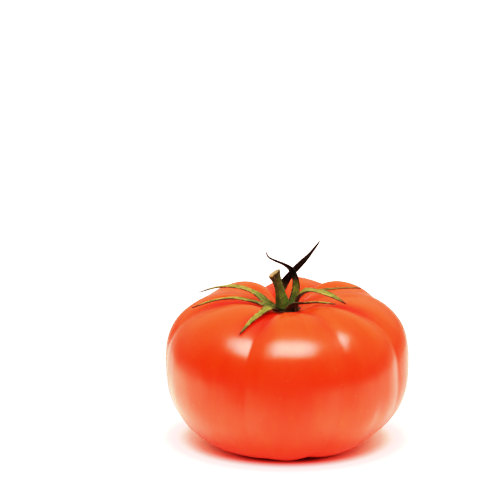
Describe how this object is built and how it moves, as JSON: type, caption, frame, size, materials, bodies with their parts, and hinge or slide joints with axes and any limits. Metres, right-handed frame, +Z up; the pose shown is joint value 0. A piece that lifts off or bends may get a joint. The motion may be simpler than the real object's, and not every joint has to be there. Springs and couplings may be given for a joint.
{
  "type": "tomato",
  "caption": "Large ribbed field tomato, flattened and lobed, resting on its blossom end, with a curling green calyx and a short stem stub.",
  "frame": {"origin": "middle of the flat spot that the fruit rests on, under the stem pit", "axes": "+Z up through the stem pit, +X to the right and +Y to the back as the picture shows it, turned so that the camera looks along +Y"},
  "size_m": [0.0894, 0.0903, 0.0762],
  "materials": {
    "skin": "waxy gloss",
    "sepal": "soft matte",
    "stem": "soft matte"
  },
  "bodies": {
    "root": {"fruit": "skin", "calyx": "sepal", "stem": "stem"}
  },
  "joints": []
}
